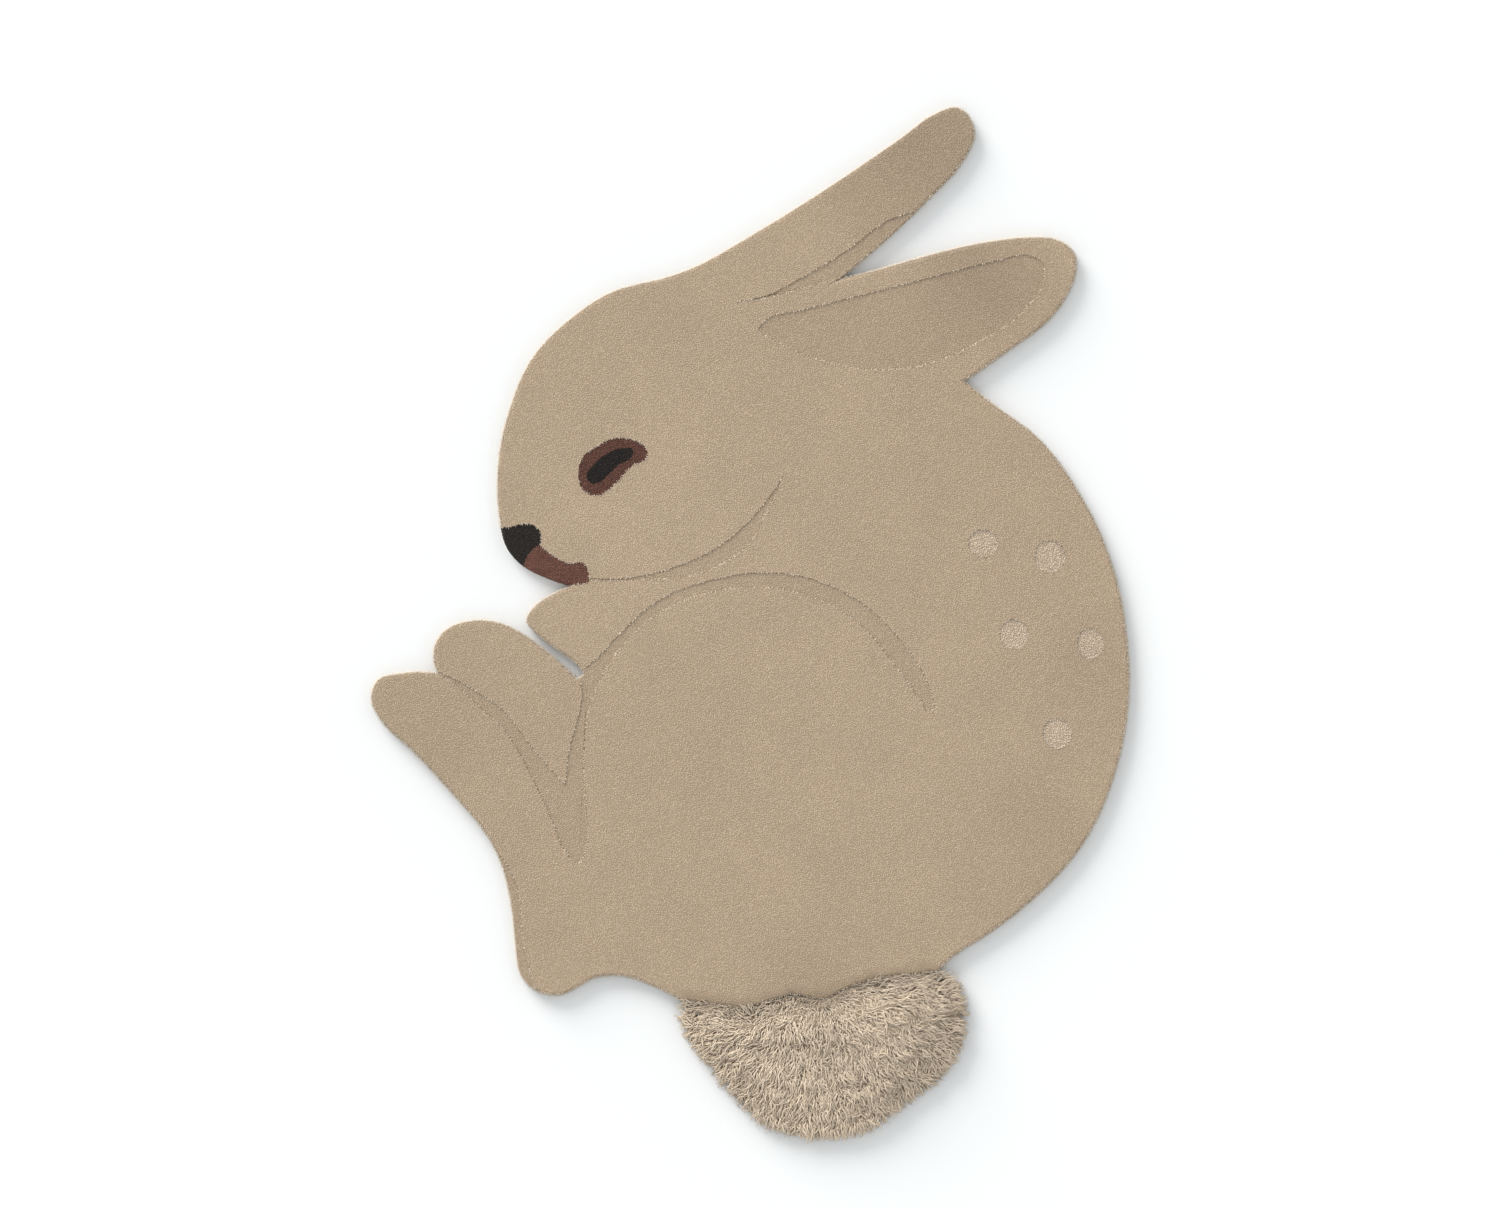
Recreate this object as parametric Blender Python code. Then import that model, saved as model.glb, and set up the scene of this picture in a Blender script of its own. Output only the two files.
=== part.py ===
"""Rabbit-shaped rug for a child's room, lying flat: one hand-tufted cloth of wool.

Yarn is tufted through one backing, sheared to one height and then carved, so that the ears,
the cheek, the thigh and the feet stand out. The eye, the nose, the mouth and five spots on
the back are fields of other yarn in that backing. The tail is tufted in long yarn: shag.

Frame: metres, +Z up. The backing lies on z = 0 and the pile points up. +Y runs from the tail
to the ears and +X from the face to the back. The origin is under the middle of the rug.
"""
import math
import random
from collections import namedtuple

import bmesh
import bpy
from mathutils import Matrix, Vector, noise
from mathutils.geometry import interpolate_bezier

MM = 0.001

# Heights above the floor.
BACKING = 3.0 * MM    # backing cloth with its latex, under everything
PILE = 14.0 * MM      # sheared pile
CARVED = 13.0 * MM    # pile left in the carved bands
SPOT = 13.2 * MM      # pile of the spots, clipped a little lower

RIM = 3.6 * MM        # rounding of the pile along the rug's edge
RIM_STEPS = 3
GAP = 0.3 * MM        # between two fields of yarn, and between a field and the backing
FLATNESS = 0.2 * MM   # how far a straight edge may lie from the curve that it stands for
HANDLE = 0.35         # length of a curve's handles, as a share of the chord between two marks
CLEAR = 10 * MM       # how far a cutting shape reaches past what it cuts

# The marks of every line, in millimetres from the middle of the rug: x towards the back,
# y towards the ears. The line through them is smooth, and two lines meet at a corner.
Mark = namedtuple("Mark", "place x y")

# The rug's edge, clockwise from the nose.
FOREHEAD_AND_UPPER_EAR = (
    Mark("nose", -264.5, 100),
    Mark("bridge", -268.5, 146),
    Mark("brow", -252.5, 235.5),
    Mark("forehead", -233, 278.5),
    Mark("crown", -192.5, 321.5),
    Mark("top of the head", -138, 355),
    Mark("behind the crown", -95, 365),
    Mark("root of the ear", -51.5, 381),
    Mark("ear, lower third", -9, 405),
    Mark("ear, middle", 75.5, 457),
    Mark("ear, upper third", 161, 515),
    Mark("shoulder of the tip", 203, 544),
    Mark("tip", 221, 548.5),
    Mark("front of the tip", 240, 524),
    Mark("below the tip", 228, 491),
    Mark("front, upper third", 195, 454),
    Mark("front, middle", 139, 401),
    Mark("notch between the ears", 95, 364),
)
LOWER_EAR = (
    Mark("notch between the ears", 95, 364),
    Mark("top, lower third", 139, 376),
    Mark("top, middle", 203, 394),
    Mark("top, upper third", 267, 407),
    Mark("shoulder of the tip", 301, 410),
    Mark("tip, upper", 330, 406.5),
    Mark("tip", 347, 392),
    Mark("tip, lower", 348, 372),
    Mark("below the tip", 335, 341.5),
    Mark("underside", 268, 283),
    Mark("notch at the neck", 229, 256.5),
)
BACK = (
    Mark("notch at the neck", 229, 256.5),
    Mark("nape", 266.5, 227),
    Mark("shoulder", 300, 203),
    Mark("upper back", 353.5, 134),
    Mark("middle of the back", 402.5, -16),
    Mark("lower back", 391, -157),
    Mark("loin", 352, -242),
    Mark("rump", 302.5, -295.5),
    Mark("above the tail", 246.5, -338),
    Mark("beside the tail", 215, -358),
    Mark("tail, right end", 201, -373),
)
TAIL_SEAM = (
    Mark("right end", 201, -373),
    Mark("right dip", 172, -376),
    Mark("right rise", 143, -379),
    Mark("middle, right", 104, -391),
    Mark("middle dip", 78, -403),
    Mark("middle rise", 46, -397),
    Mark("left dip", 0, -412),
    Mark("left rise", -36, -408),
    Mark("left end", -71, -404),
)
BELLY_AND_LOWER_FOOT = (
    Mark("tail, left end", -71, -404),
    Mark("belly", -98, -390),
    Mark("groin", -133, -377.5),
    Mark("in front of the heel", -166.5, -379.5),
    Mark("heel, back", -198, -397),
    Mark("heel", -223, -395),
    Mark("heel, front", -243, -377),
    Mark("above the heel", -248.5, -350),
    Mark("ankle", -252.5, -309),
    Mark("shin", -268, -248),
    Mark("lower foot, root", -321, -177.5),
    Mark("lower foot, sole", -360.5, -135.5),
    Mark("toe, below", -393, -104),
    Mark("toe", -403, -81),
    Mark("toe, above", -396, -62),
    Mark("lower foot, top", -372, -55),
    Mark("notch between the feet", -331, -55),
)
UPPER_FOOT = (
    Mark("notch between the feet", -331, -55),
    Mark("toe, front", -335, -25),
    Mark("toe, top", -323, -8),
    Mark("toe, shoulder", -303, 0),
    Mark("instep", -268, -0.5),
    Mark("slot, outer end", -235, -17),
    Mark("slot, middle", -206.5, -39),
    Mark("slot, inner end", -183, -61),
)
SLOT_END = (
    Mark("foot side", -183, -61),
    Mark("paw side", -175, -56),
)
PAW = (
    Mark("slot, inner end", -175, -56),
    Mark("slot, near the end", -185.5, -43.5),
    Mark("slot, middle", -202.5, -31),
    Mark("paw, below", -232, -7),
    Mark("paw, tip", -237.5, 1),
    Mark("paw, above the tip", -234.5, 9),
    Mark("paw, front", -228.5, 17),
    Mark("paw, top", -213.5, 27.5),
    Mark("notch under the chin", -190, 38),
)
CHIN = (
    Mark("notch under the chin", -190, 38),
    Mark("lip", -216, 46.5),
    Mark("muzzle", -245, 62.5),
    Mark("under the nose", -258, 78),
    Mark("nose", -264.5, 100),
)

# The backing that carries the tail, a tongue that runs on under the shag.
TAIL_TONGUE = (
    Mark("right root", 174, -340),
    Mark("right side", 182, -424),
    Mark("lower right", 146, -484),
    Mark("end", 76, -510),
    Mark("lower left", 4, -480),
    Mark("left side", -38, -430),
    Mark("left root", -42, -340),
)

# Carved bands: lines on the pile, then the way back, which may run outside the edge.
INNER_EAR = (
    Mark("point", 8, 310),
    Mark("point, upper", 16, 321),
    Mark("upper line", 54, 332),
    Mark("upper line, middle", 118, 348),
    Mark("upper line, high", 203, 370),
    Mark("upper line, end", 267, 386),
    Mark("round end, top", 298, 391),
    Mark("round end", 312, 384),
    Mark("round end, low", 314, 362),
    Mark("lower line, end", 297, 335),
    Mark("lower line, high", 246, 298),
    Mark("lower line, middle", 182, 272),
    Mark("lower line", 118, 269),
    Mark("lower line, low", 54, 286),
    Mark("point", 8, 310),
)
UPPER_EAR_LINE = (
    Mark("point", -13, 342),
    Mark("low", 16, 347),
    Mark("middle", 54, 366),
    Mark("high", 107, 398),
    Mark("bend", 146, 427),
    Mark("past the edge", 184, 439),
)
UPPER_EAR_GAP = (
    Mark("past the edge", 184, 439),
    Mark("in the gap", 150, 396),
    Mark("low in the gap", 110, 372.5),
    Mark("inside the notch", 98.5, 366),
)
UPPER_EAR_FOOT = (
    Mark("inside the notch", 98.5, 366),
    Mark("beside the notch", 75, 360),
    Mark("middle", 33, 347.5),
    Mark("low", 5, 342),
    Mark("point", -13, 339.5),
)
UPPER_EAR_END = (
    Mark("point, below", -13, 339.5),
    Mark("point, above", -13, 342),
)
CHEEK_UPPER = (
    Mark("in the mouth", -177, 48),
    Mark("jaw", -123, 48),
    Mark("cheek", -79, 59),
    Mark("cheek, high", -25, 86),
    Mark("below the point", 9, 118),
    Mark("point", 37, 158),
)
CHEEK_LOWER = (
    Mark("point", 37, 158),
    Mark("below the point", 18, 114),
    Mark("cheek, high", -2, 80),
    Mark("cheek", -25, 63),
    Mark("throat", -58, 49),
    Mark("jaw", -112, 44),
    Mark("in the mouth", -177, 43),
)
THIGH_OUTER = (
    Mark("in the slot", -183.5, -53.5),
    Mark("paw", -169, -44),
    Mark("elbow", -138, -12),
    Mark("knee", -99, 22),
    Mark("above the knee", -36, 46),
    Mark("top", 24, 53),
    Mark("hip", 100, 33),
    Mark("behind the hip", 155, -11),
    Mark("low", 192, -69),
    Mark("end", 197, -84),
    Mark("round end", 196, -94),
    Mark("round end, inner", 189, -96),
)
THIGH_INNER = (
    Mark("round end, inner", 189, -96),
    Mark("low", 158, -51),
    Mark("hip", 116, -2),
    Mark("behind the top", 54, 30),
    Mark("top", -22, 34),
    Mark("above the knee", -90, 12),
    Mark("knee", -132, -23),
    Mark("below the knee", -162, -70),
    Mark("thigh, front", -176, -142),
    Mark("thigh, low", -173, -196),
    Mark("round end, right", -174, -246),
    Mark("round end", -181, -258),
    Mark("round end, left", -194, -248),
    Mark("shin", -211, -211),
    Mark("foot, root", -233, -164),
    Mark("foot, middle", -255, -124),
    Mark("foot, high", -286, -92),
    Mark("past the notch", -334.5, -51.5),
)
UPPER_FOOT_SOLE = (
    Mark("past the notch", -334.5, -51.5),
    Mark("high", -294, -71),
    Mark("middle", -263, -93),
    Mark("low", -233, -131),
    Mark("point", -196, -173),
)
UPPER_FOOT_SIDE = (
    Mark("point", -196, -173),
    Mark("low", -194, -147),
    Mark("high", -181, -60),
    Mark("in the slot", -183.5, -53.5),
)
LEG_LINE = (
    Mark("past the shin", -279, -238),
    Mark("shin", -262, -252),
    Mark("calf", -243, -299),
    Mark("ankle", -241, -338),
    Mark("heel", -234, -368),
    Mark("past the heel", -221, -408),
)
LEG_OUTSIDE = (
    Mark("past the heel", -221, -408),
    Mark("beside the heel", -262, -392),
    Mark("beside the leg", -286, -300),
    Mark("past the shin", -279, -238),
)

# Fields of other yarn.
EYE_RING = (
    Mark("top", -147, 195),
    Mark("top, front corner", -127, 195),
    Mark("outer corner, top", -111, 187),
    Mark("outer corner", -108, 176),
    Mark("lower lid, corner", -125, 166),
    Mark("lower lid", -147, 142),
    Mark("inner corner, low", -162, 134),
    Mark("inner corner", -178, 141),
    Mark("inner side", -182, 155),
    Mark("upper lid, low", -178, 175),
    Mark("upper lid", -161, 188),
    Mark("top", -147, 195),
)
PUPIL = (
    Mark("top", -146, 182),
    Mark("top, outer", -134, 185),
    Mark("outer end", -124, 184),
    Mark("outer end, low", -124, 177),
    Mark("lower side", -140, 167),
    Mark("lower side, inner", -155, 152),
    Mark("inner end", -165, 147),
    Mark("inner end, top", -173, 153),
    Mark("upper side", -164, 169),
    Mark("top", -146, 182),
)
NOSE_TOP = (
    Mark("past the bridge", -276, 100),
    Mark("bridge", -255, 101),
    Mark("top", -237, 105),
    Mark("corner", -225, 100),
    Mark("meets the mouth", -223, 82),
)
NOSE_AND_MOUTH = (
    Mark("meets the mouth", -223, 82),
    Mark("middle", -232, 76),
    Mark("past the lip", -240, 49),
)
MOUTH_TOP = (
    Mark("meets the nose", -223, 82),
    Mark("upper lip", -206, 69),
    Mark("dip", -190, 62),
    Mark("swell", -179, 64),
    Mark("corner", -171, 54),
    Mark("end", -172, 41),
)
MOUTH_LOW = (
    Mark("end", -172, 41),
    Mark("beside the notch", -190, 38.8),
    Mark("in the notch", -199, 38.5),
)
LIP_OUTSIDE = (
    Mark("in the notch", -199, 38.5),
    Mark("below the lip", -217, 40),
    Mark("past the lip", -240, 49),
)
MUZZLE_OUTSIDE = (
    Mark("past the lip", -240, 49),
    Mark("in front of the muzzle", -270, 64),
    Mark("past the bridge", -276, 100),
)
Spot = namedtuple("Spot", "name x y width length")
SPOTS = (
    Spot("spot_1", 249, 84, 32, 30),
    Spot("spot_2", 320, 70, 33, 35),
    Spot("spot_3", 282, -13, 31, 32),
    Spot("spot_4", 363, -23, 29, 33),
    Spot("spot_5", 328, -119, 31, 33),
)
SPOT_SIDES = 22
SPOT_UNEVEN = 0.04    # how far a spot's edge wanders, as a share of its radius
SPOT_WAVE = 1.5       # how often it wanders in and out on its way round

# The shag tail. Its rim is where the tips of the locks lie.
TAIL_RIM = (
    Mark("right end", 216, -377),
    Mark("right, upper", 229, -404),
    Mark("right", 229, -437),
    Mark("right, lower", 214, -474),
    Mark("lower right", 172, -508),
    Mark("bottom right", 123, -542),
    Mark("bottom", 72, -550),
    Mark("bottom left", 21, -537),
    Mark("lower left", -16, -503),
    Mark("left", -50, -463),
    Mark("left, upper", -70, -428),
    Mark("left end", -73, -408),
)
TAIL_SPINE = (Mark("left", 14, -446), Mark("right", 134, -438))
FAN = Mark("where the locks fan out from", 72, -385)
RIM_POINTS = 112
SEAM_POINTS = 48
SEAM_CLEAR = 0.9 * MM      # between the shag and the pile above it
LUMP = 8 * MM              # how far the lumps rise and sink at the spine, less towards the hem
LUMP_SIZE = 28 * MM
LOCK_REACH = 7 * MM        # from a lock's root to its tip
LOCK_UNEVEN = 0.22         # share by which a lock may be longer or shorter
LOCK_TURN = 0.13           # radians by which a lock may lean to one side
LOCK_STEPS = ((0.45, 0.8), (1.0, 0.3))    # share of the reach, then of the root's thickness
# The slab's rings above the floor. The share says how far a ring lies in from the hem, with
# the spine at 1. Where locks is true, they grow from the steep band below the ring.
Ring = namedtuple("Ring", "place share height locks")
SHAG = (
    Ring("hem", 0.00, 17 * MM, True),
    Ring("first tread", 0.13, 19 * MM, False),
    Ring("second tier", 0.15, 23 * MM, True),
    Ring("second tread", 0.30, 25 * MM, False),
    Ring("third tier", 0.32, 28 * MM, True),
    Ring("third tread", 0.50, 29.5 * MM, False),
    Ring("fourth tier", 0.52, 32.5 * MM, True),
    Ring("crown", 0.70, 34 * MM, False),
    Ring("top", 0.88, 34 * MM, False),
)

# Colours, as sRGB levels from 0 to 255.
BEIGE = (183, 164, 140)
LIGHT = (192, 175, 153)
BROWN = (107, 76, 66)
BLACK = (44, 40, 37)


def place(mark):
    """The point of a mark, in metres."""
    return Vector((mark.x, mark.y)) * MM


def headings(points, is_ring):
    """The way a smooth line runs at each of its points: along the circle through its neighbours."""
    inner = []
    last = len(points) - 1
    for i, here in enumerate(points):
        before = points[i - 1] if i else points[-2]
        after = points[i + 1] if i < last else points[1]
        come, go = here - before, after - here
        inner.append((come.normalized() * go.length + go.normalized() * come.length).normalized())
    if not is_ring:
        first_chord = (points[1] - points[0]).normalized()
        last_chord = (points[-1] - points[-2]).normalized()
        inner[0] = inner[1].reflect(first_chord.orthogonal()) if last > 1 else first_chord
        inner[-1] = inner[-2].reflect(last_chord.orthogonal()) if last > 1 else last_chord
    return inner


def smooth(marks, is_ring=False):
    """Points along the smooth line through the marks, closer together where it turns."""
    points = [place(mark) for mark in marks]
    ways = headings(points, is_ring)
    line = []
    for a, b, leave, arrive in zip(points, points[1:], ways, ways[1:]):
        chord = (b - a).length
        turn = leave.angle(arrive)
        steps = max(1, math.ceil(math.sqrt(chord * turn / (8 * FLATNESS))))
        handle = chord * HANDLE
        curve = interpolate_bezier(a, a + leave * handle, b - arrive * handle, b, steps + 1)
        line += curve[:-1]
    return line + [points[-1]]


def outline(*strokes):
    """The closed line that the strokes make end to end, without its last point."""
    return [point for stroke in strokes for point in smooth(stroke)[:-1]]


def widened(loop, by):
    """The loop with each point moved outwards, or inwards where the number is negative."""
    area = sum(a.cross(b) for a, b in zip(loop, loop[1:] + loop[:1]))
    side = 1 if area > 0 else -1
    moved = []
    for before, here, after in zip(loop[-1:] + loop[:-1], loop, loop[1:] + loop[:1]):
        come, go = (here - before).normalized(), (after - here).normalized()
        out = Vector((come.y + go.y, -come.x - go.x)) * side
        moved.append(here + out * (2 * by / max(out.length_squared, 1)))
    return moved


def material(name, levels, roughness):
    finish = bpy.data.materials.new(name)
    finish.use_nodes = True
    shader = finish.node_tree.nodes["Principled BSDF"]
    linear = [((level / 255 + 0.055) / 1.055) ** 2.4 for level in levels]
    shader.inputs["Base Color"].default_value = (*linear, 1)
    shader.inputs["Roughness"].default_value = roughness
    shader.inputs["Metallic"].default_value = 0
    return finish


def finished(name, bm, finish=None):
    """An object from a closed bmesh. Without a finish it is a guide that only cuts or joins."""
    bmesh.ops.recalc_face_normals(bm, faces=bm.faces)
    mesh = bpy.data.meshes.new(name)
    bm.to_mesh(mesh)
    bm.free()
    piece = bpy.data.objects.new(name, mesh)
    bpy.context.scene.collection.objects.link(piece)
    if finish:
        mesh.materials.append(finish)
    else:
        piece.hide_render = True
        piece.display_type = "WIRE"
    return piece


def prism(loop, low, high):
    """A closed upright body with the loop as its outline, and its top edges."""
    bm = bmesh.new()
    base = bm.faces.new([bm.verts.new((*point, low)) for point in loop])
    top = bmesh.ops.extrude_face_region(bm, geom=[base])["geom"]
    verts = [item for item in top if isinstance(item, bmesh.types.BMVert)]
    bmesh.ops.translate(bm, verts=verts, vec=(0, 0, high - low))
    edges = [item for item in top if isinstance(item, bmesh.types.BMEdge)]
    return bm, edges


def guide(name, loop, low, high):
    return finished(name, prism(loop, low, high)[0])


def boolean(piece, operation, operand):
    step = piece.modifiers.new(f"{operation.lower()} {operand.name}", "BOOLEAN")
    step.operation = operation
    step.solver = "EXACT"
    step.object = operand


def pile_slab(name, finish):
    """The whole rug without its tail, sheared to one height, with the pile's rounded rim."""
    edge = outline(FOREHEAD_AND_UPPER_EAR, LOWER_EAR, BACK, TAIL_SEAM, BELLY_AND_LOWER_FOOT,
                   UPPER_FOOT, SLOT_END, PAW, CHIN)
    bm, top_edges = prism(edge, 0, PILE)
    bmesh.ops.bevel(bm, geom=top_edges, offset=RIM, segments=RIM_STEPS, profile=0.5,
                    affect="EDGES", clamp_overlap=False, material=-1)
    return finished(name, bm, finish)


def carved_bands():
    """The guides that carve the pile down, each to the same lower height."""
    bands = {
        "inner_ear": outline(INNER_EAR),
        "upper_ear": outline(UPPER_EAR_LINE, UPPER_EAR_GAP, UPPER_EAR_FOOT, UPPER_EAR_END),
        "cheek": outline(CHEEK_UPPER, CHEEK_LOWER, (CHEEK_LOWER[-1], CHEEK_UPPER[0])),
        "thigh_and_feet": outline(THIGH_OUTER, THIGH_INNER, UPPER_FOOT_SOLE, UPPER_FOOT_SIDE),
        "leg": outline(LEG_LINE, LEG_OUTSIDE),
    }
    return [guide(f"carve_{name}", loop, CARVED, PILE + CLEAR) for name, loop in bands.items()]


def spot_loop(spot):
    """A round spot whose edge wanders a little, as hand clipping leaves it."""
    loop = []
    for i in range(SPOT_SIDES):
        angle = math.tau * i / SPOT_SIDES
        way = Vector((math.cos(angle), math.sin(angle)))
        wander = 1 + SPOT_UNEVEN * noise.noise((*way * SPOT_WAVE, spot.x))
        radius = Vector((way.x * spot.width, way.y * spot.length)) / 2 * wander
        loop.append(place(spot) + radius * MM)
    return loop


def yarn_field(name, loop, finish, top=PILE + CLEAR):
    """The pile inside the loop, as a piece of its own that stands on the backing."""
    piece = pile_slab(name, finish)
    inside = guide(f"{name}_area", widened(loop, -GAP / 2), BACKING + GAP, top)
    boolean(piece, "INTERSECT", inside)
    return piece


def evenly(line, count):
    """A number of points evenly spaced along a line, without its last one."""
    lengths = [(b - a).length for a, b in zip(line, line[1:])]
    points = []
    for i in range(count):
        left = sum(lengths) * i / count
        for a, b, length in zip(line, line[1:], lengths):
            if left <= length:
                points.append(a.lerp(b, left / length))
                break
            left -= length
    return points


def spine_point(point):
    """The nearest point on the middle line of the tail."""
    left, right = (place(mark) for mark in TAIL_SPINE)
    along = right - left
    share = (point - left).dot(along) / along.length_squared
    return left + along * min(1, max(0, share))


def inwards(point, distance):
    """The point moved a distance towards the middle line of the tail."""
    return point + (spine_point(point) - point).normalized() * distance


def shag_levels():
    """The slab's rings, from its flat underside up to the top, as lists of points."""
    hem = [inwards(point, LOCK_REACH) for point in evenly(smooth(TAIL_RIM), RIM_POINTS)]
    hem += [inwards(point, SEAM_CLEAR) for point in evenly(smooth(TAIL_SEAM)[::-1], SEAM_POINTS)]
    over_backing = BACKING + GAP
    floor = [0] * RIM_POINTS + [over_backing] * SEAM_POINTS
    underside = [(*point.lerp(spine_point(point), SHAG[1].share), over_backing) for point in hem]
    levels = [underside, [(*point, low) for point, low in zip(hem, floor)]]
    for ring in SHAG:
        level = []
        for point in hem:
            here = point.lerp(spine_point(point), ring.share)
            lump = LUMP * noise.noise((here.x / LUMP_SIZE, here.y / LUMP_SIZE, 0))
            level.append((*here, ring.height + lump * ring.share))
        levels.append(level)
    return levels


def grow_lock(bm, face, dice):
    """Draw a face out into a tapered lock that lies level and points away from the fan."""
    root = face.calc_center_median()
    ground = min(vert.co.z for vert in face.verts)
    way = (root.xy - place(FAN)).normalized()
    way.rotate(Matrix.Rotation(dice.uniform(-LOCK_TURN, LOCK_TURN), 2))
    reach = LOCK_REACH * dice.uniform(1 - LOCK_UNEVEN, 1 + LOCK_UNEVEN)
    thickness = 1
    for share, size in LOCK_STEPS:
        face = bmesh.ops.extrude_discrete_faces(bm, faces=[face])["faces"][0]
        middle = face.calc_center_median()
        target = root.xy + way * reach * share
        for vert in face.verts:
            vert.co = (vert.co - middle) * (size / thickness) + Vector((*target, middle.z))
        drop = min(vert.co.z for vert in face.verts) - ground
        bmesh.ops.translate(bm, verts=face.verts, vec=(0, 0, -drop))
        thickness = size


def tail_shag(finish):
    """A lumpy slab of long yarn with tiers of locks round its rim."""
    bm = bmesh.new()
    levels = [[bm.verts.new(point) for point in level] for level in shag_levels()]
    bm.faces.new(levels[0])
    bm.faces.new(levels[-1])
    bands = []
    for low, high in zip(levels, levels[1:]):
        bands.append([bm.faces.new((low[i - 1], low[i], high[i], high[i - 1]))
                      for i in range(len(low))])
    bmesh.ops.recalc_face_normals(bm, faces=bm.faces)
    dice = random.Random(11)
    tiers = [band for band, ring in zip(bands[1:], SHAG) if ring.locks]
    for number, band in enumerate(tiers):
        for face in band[2 + number % 2:RIM_POINTS - 1:2]:
            grow_lock(bm, face, dice)
    return finished("tail_shag", bm, finish)


for thing in list(bpy.data.objects):
    bpy.data.objects.remove(thing)

beige = material("beige_pile", BEIGE, 0.95)
light = material("light_yarn", LIGHT, 0.95)
brown = material("brown_yarn", BROWN, 0.9)
black = material("black_yarn", BLACK, 0.85)

body = pile_slab("rug_body", beige)
tongue = outline(TAIL_TONGUE, (TAIL_TONGUE[-1], TAIL_TONGUE[0]))
boolean(body, "UNION", guide("tail_tongue", tongue, 0, BACKING))
for band in carved_bands():
    boolean(body, "DIFFERENCE", band)

eye = smooth(EYE_RING, is_ring=True)[:-1]
pupil = smooth(PUPIL, is_ring=True)[:-1]
muzzle = outline(NOSE_TOP, MOUTH_TOP, MOUTH_LOW, LIP_OUTSIDE, MUZZLE_OUTSIDE)
pockets = {"eye": eye, "muzzle": muzzle, **{spot.name: spot_loop(spot) for spot in SPOTS}}
for name, loop in pockets.items():
    pocket = guide(f"pocket_{name}", widened(loop, GAP / 2), BACKING, PILE + CLEAR)
    boolean(body, "DIFFERENCE", pocket)

eye_rim = yarn_field("eye_rim", eye, brown)
boolean(eye_rim, "DIFFERENCE", guide("eye_hole", widened(pupil, GAP / 2), 0, PILE + CLEAR))
yarn_field("pupil", pupil, black)
yarn_field("nose", outline(NOSE_TOP, NOSE_AND_MOUTH, MUZZLE_OUTSIDE), black)
yarn_field("mouth", outline(MOUTH_TOP, MOUTH_LOW, LIP_OUTSIDE, NOSE_AND_MOUTH[::-1]), brown)
for spot in SPOTS:
    yarn_field(spot.name, spot_loop(spot), light, top=SPOT)

tail_shag(light)
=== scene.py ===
"""Rug for a child's room in the outline of a curled-up rabbit: hand-tufted wool, shag tail.

Metres, +Z up with the pile, +Y towards the ears. The parts are drawn from the floor up:
backing, pile, face, spots, tail. The room and the camera come last.
"""
import math
import random

import bmesh
import bpy
from mathutils import Matrix, Vector, noise
from mathutils.bvhtree import BVHTree


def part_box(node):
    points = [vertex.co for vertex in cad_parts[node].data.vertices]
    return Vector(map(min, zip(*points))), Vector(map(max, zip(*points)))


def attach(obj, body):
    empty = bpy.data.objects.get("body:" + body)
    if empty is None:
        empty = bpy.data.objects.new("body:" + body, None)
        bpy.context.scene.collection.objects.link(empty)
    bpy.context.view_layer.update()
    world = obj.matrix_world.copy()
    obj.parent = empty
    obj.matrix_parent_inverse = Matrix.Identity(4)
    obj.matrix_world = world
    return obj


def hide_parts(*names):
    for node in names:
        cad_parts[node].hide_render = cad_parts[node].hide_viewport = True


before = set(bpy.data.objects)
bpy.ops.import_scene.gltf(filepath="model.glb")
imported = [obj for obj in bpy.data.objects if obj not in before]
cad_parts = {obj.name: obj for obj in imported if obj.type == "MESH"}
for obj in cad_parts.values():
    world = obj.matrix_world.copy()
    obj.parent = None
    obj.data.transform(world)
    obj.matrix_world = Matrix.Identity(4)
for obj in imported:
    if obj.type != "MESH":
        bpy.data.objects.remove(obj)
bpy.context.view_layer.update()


# ---- Backing ------------------------------------------------------------------------------
# A plain-woven cotton cloth that the yarn was shot through, coated with latex and covered with
# a second cotton cloth. It is cut to the rabbit's outline and runs on as a tongue under the tail.
BACKING = 0.003
THREAD = 0.0013
THREAD_RELIEF = 0.0004
WAVE_LENGTH = math.pi / 10     # of the wave texture at scale 1
COTTON = (206, 196, 176)
GAP_TONE = 0.55         # the cloth is darker between its threads
SAME = 0.0001           # heights that differ by less are taken as one


def linear(levels):
    """A colour for a shader from levels of 0 to 255."""
    return tuple(((level / 255 + 0.055) / 1.055) ** 2.4 for level in levels) + (1.0,)


def node(tree, kind, inputs=None, **settings):
    """A node with its settings. Its inputs are values or the outputs of other nodes."""
    made = tree.nodes.new(kind)
    for name, value in settings.items():
        setattr(made, name, value)
    for socket, value in (inputs or {}).items():
        if isinstance(value, bpy.types.NodeSocket):
            tree.links.new(value, made.inputs[socket])
        else:
            made.inputs[socket].default_value = value
    return made


def maths(tree, operation, *values, vectors=False):
    """Work out a number or a vector, from values or the outputs of nodes."""
    kind = "ShaderNodeVectorMath" if vectors else "ShaderNodeMath"
    return node(tree, kind, dict(enumerate(values)), operation=operation).outputs[0]


def piece_from(name, bm, finish, stands_for=()):
    """A piece of the rug from a bmesh, which rides on the rug."""
    mesh = bpy.data.meshes.new(name)
    bm.to_mesh(mesh)
    bm.free()
    mesh.materials.append(finish)
    piece = bpy.data.objects.new(name, mesh)
    bpy.context.scene.collection.objects.link(piece)
    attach(piece, "root")
    if stands_for:
        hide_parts(*stands_for)
    return piece


def node_copy(name):
    """A joined copy of a solid of the rug."""
    bm = bmesh.new()
    bm.from_mesh(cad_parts[name].data)
    bmesh.ops.remove_doubles(bm, verts=bm.verts, dist=1e-6)
    return bm


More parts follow.
